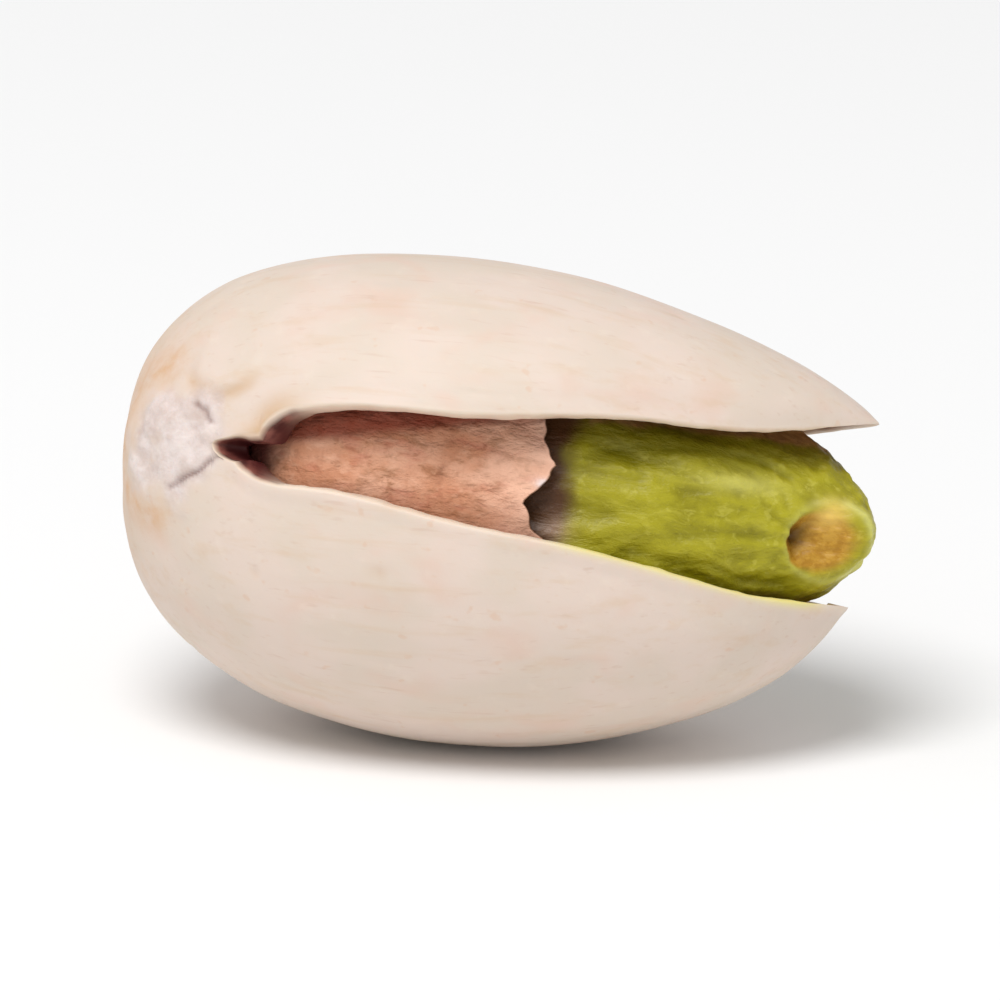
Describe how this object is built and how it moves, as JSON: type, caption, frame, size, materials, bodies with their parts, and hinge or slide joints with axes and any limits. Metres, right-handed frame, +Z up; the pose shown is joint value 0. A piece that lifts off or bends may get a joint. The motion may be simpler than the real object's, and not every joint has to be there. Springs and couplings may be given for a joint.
{
  "type": "pistachio in shell",
  "caption": "Roasted pistachio lying in its open two-halved shell, with the green kernel and its torn papery skin showing.",
  "frame": {"origin": "bottom centre of the nut's box, on the ground plane that it rests on", "axes": "+X from the stem end to the open tips, +Z up, the wide split faces -Y and a little up"},
  "size_m": [0.021, 0.0126, 0.0131],
  "materials": {
    "shell": "smooth, matt to eggshell, cream with pinkish tan stains",
    "kernel": "satin, slightly oily, wrinkled, yellow-green",
    "seed_skin": "dry, papery, pinkish brown"
  },
  "bodies": {
    "root": {"shell": "shell", "kernel": "kernel", "seed_skin": "seed_skin"}
  },
  "joints": []
}
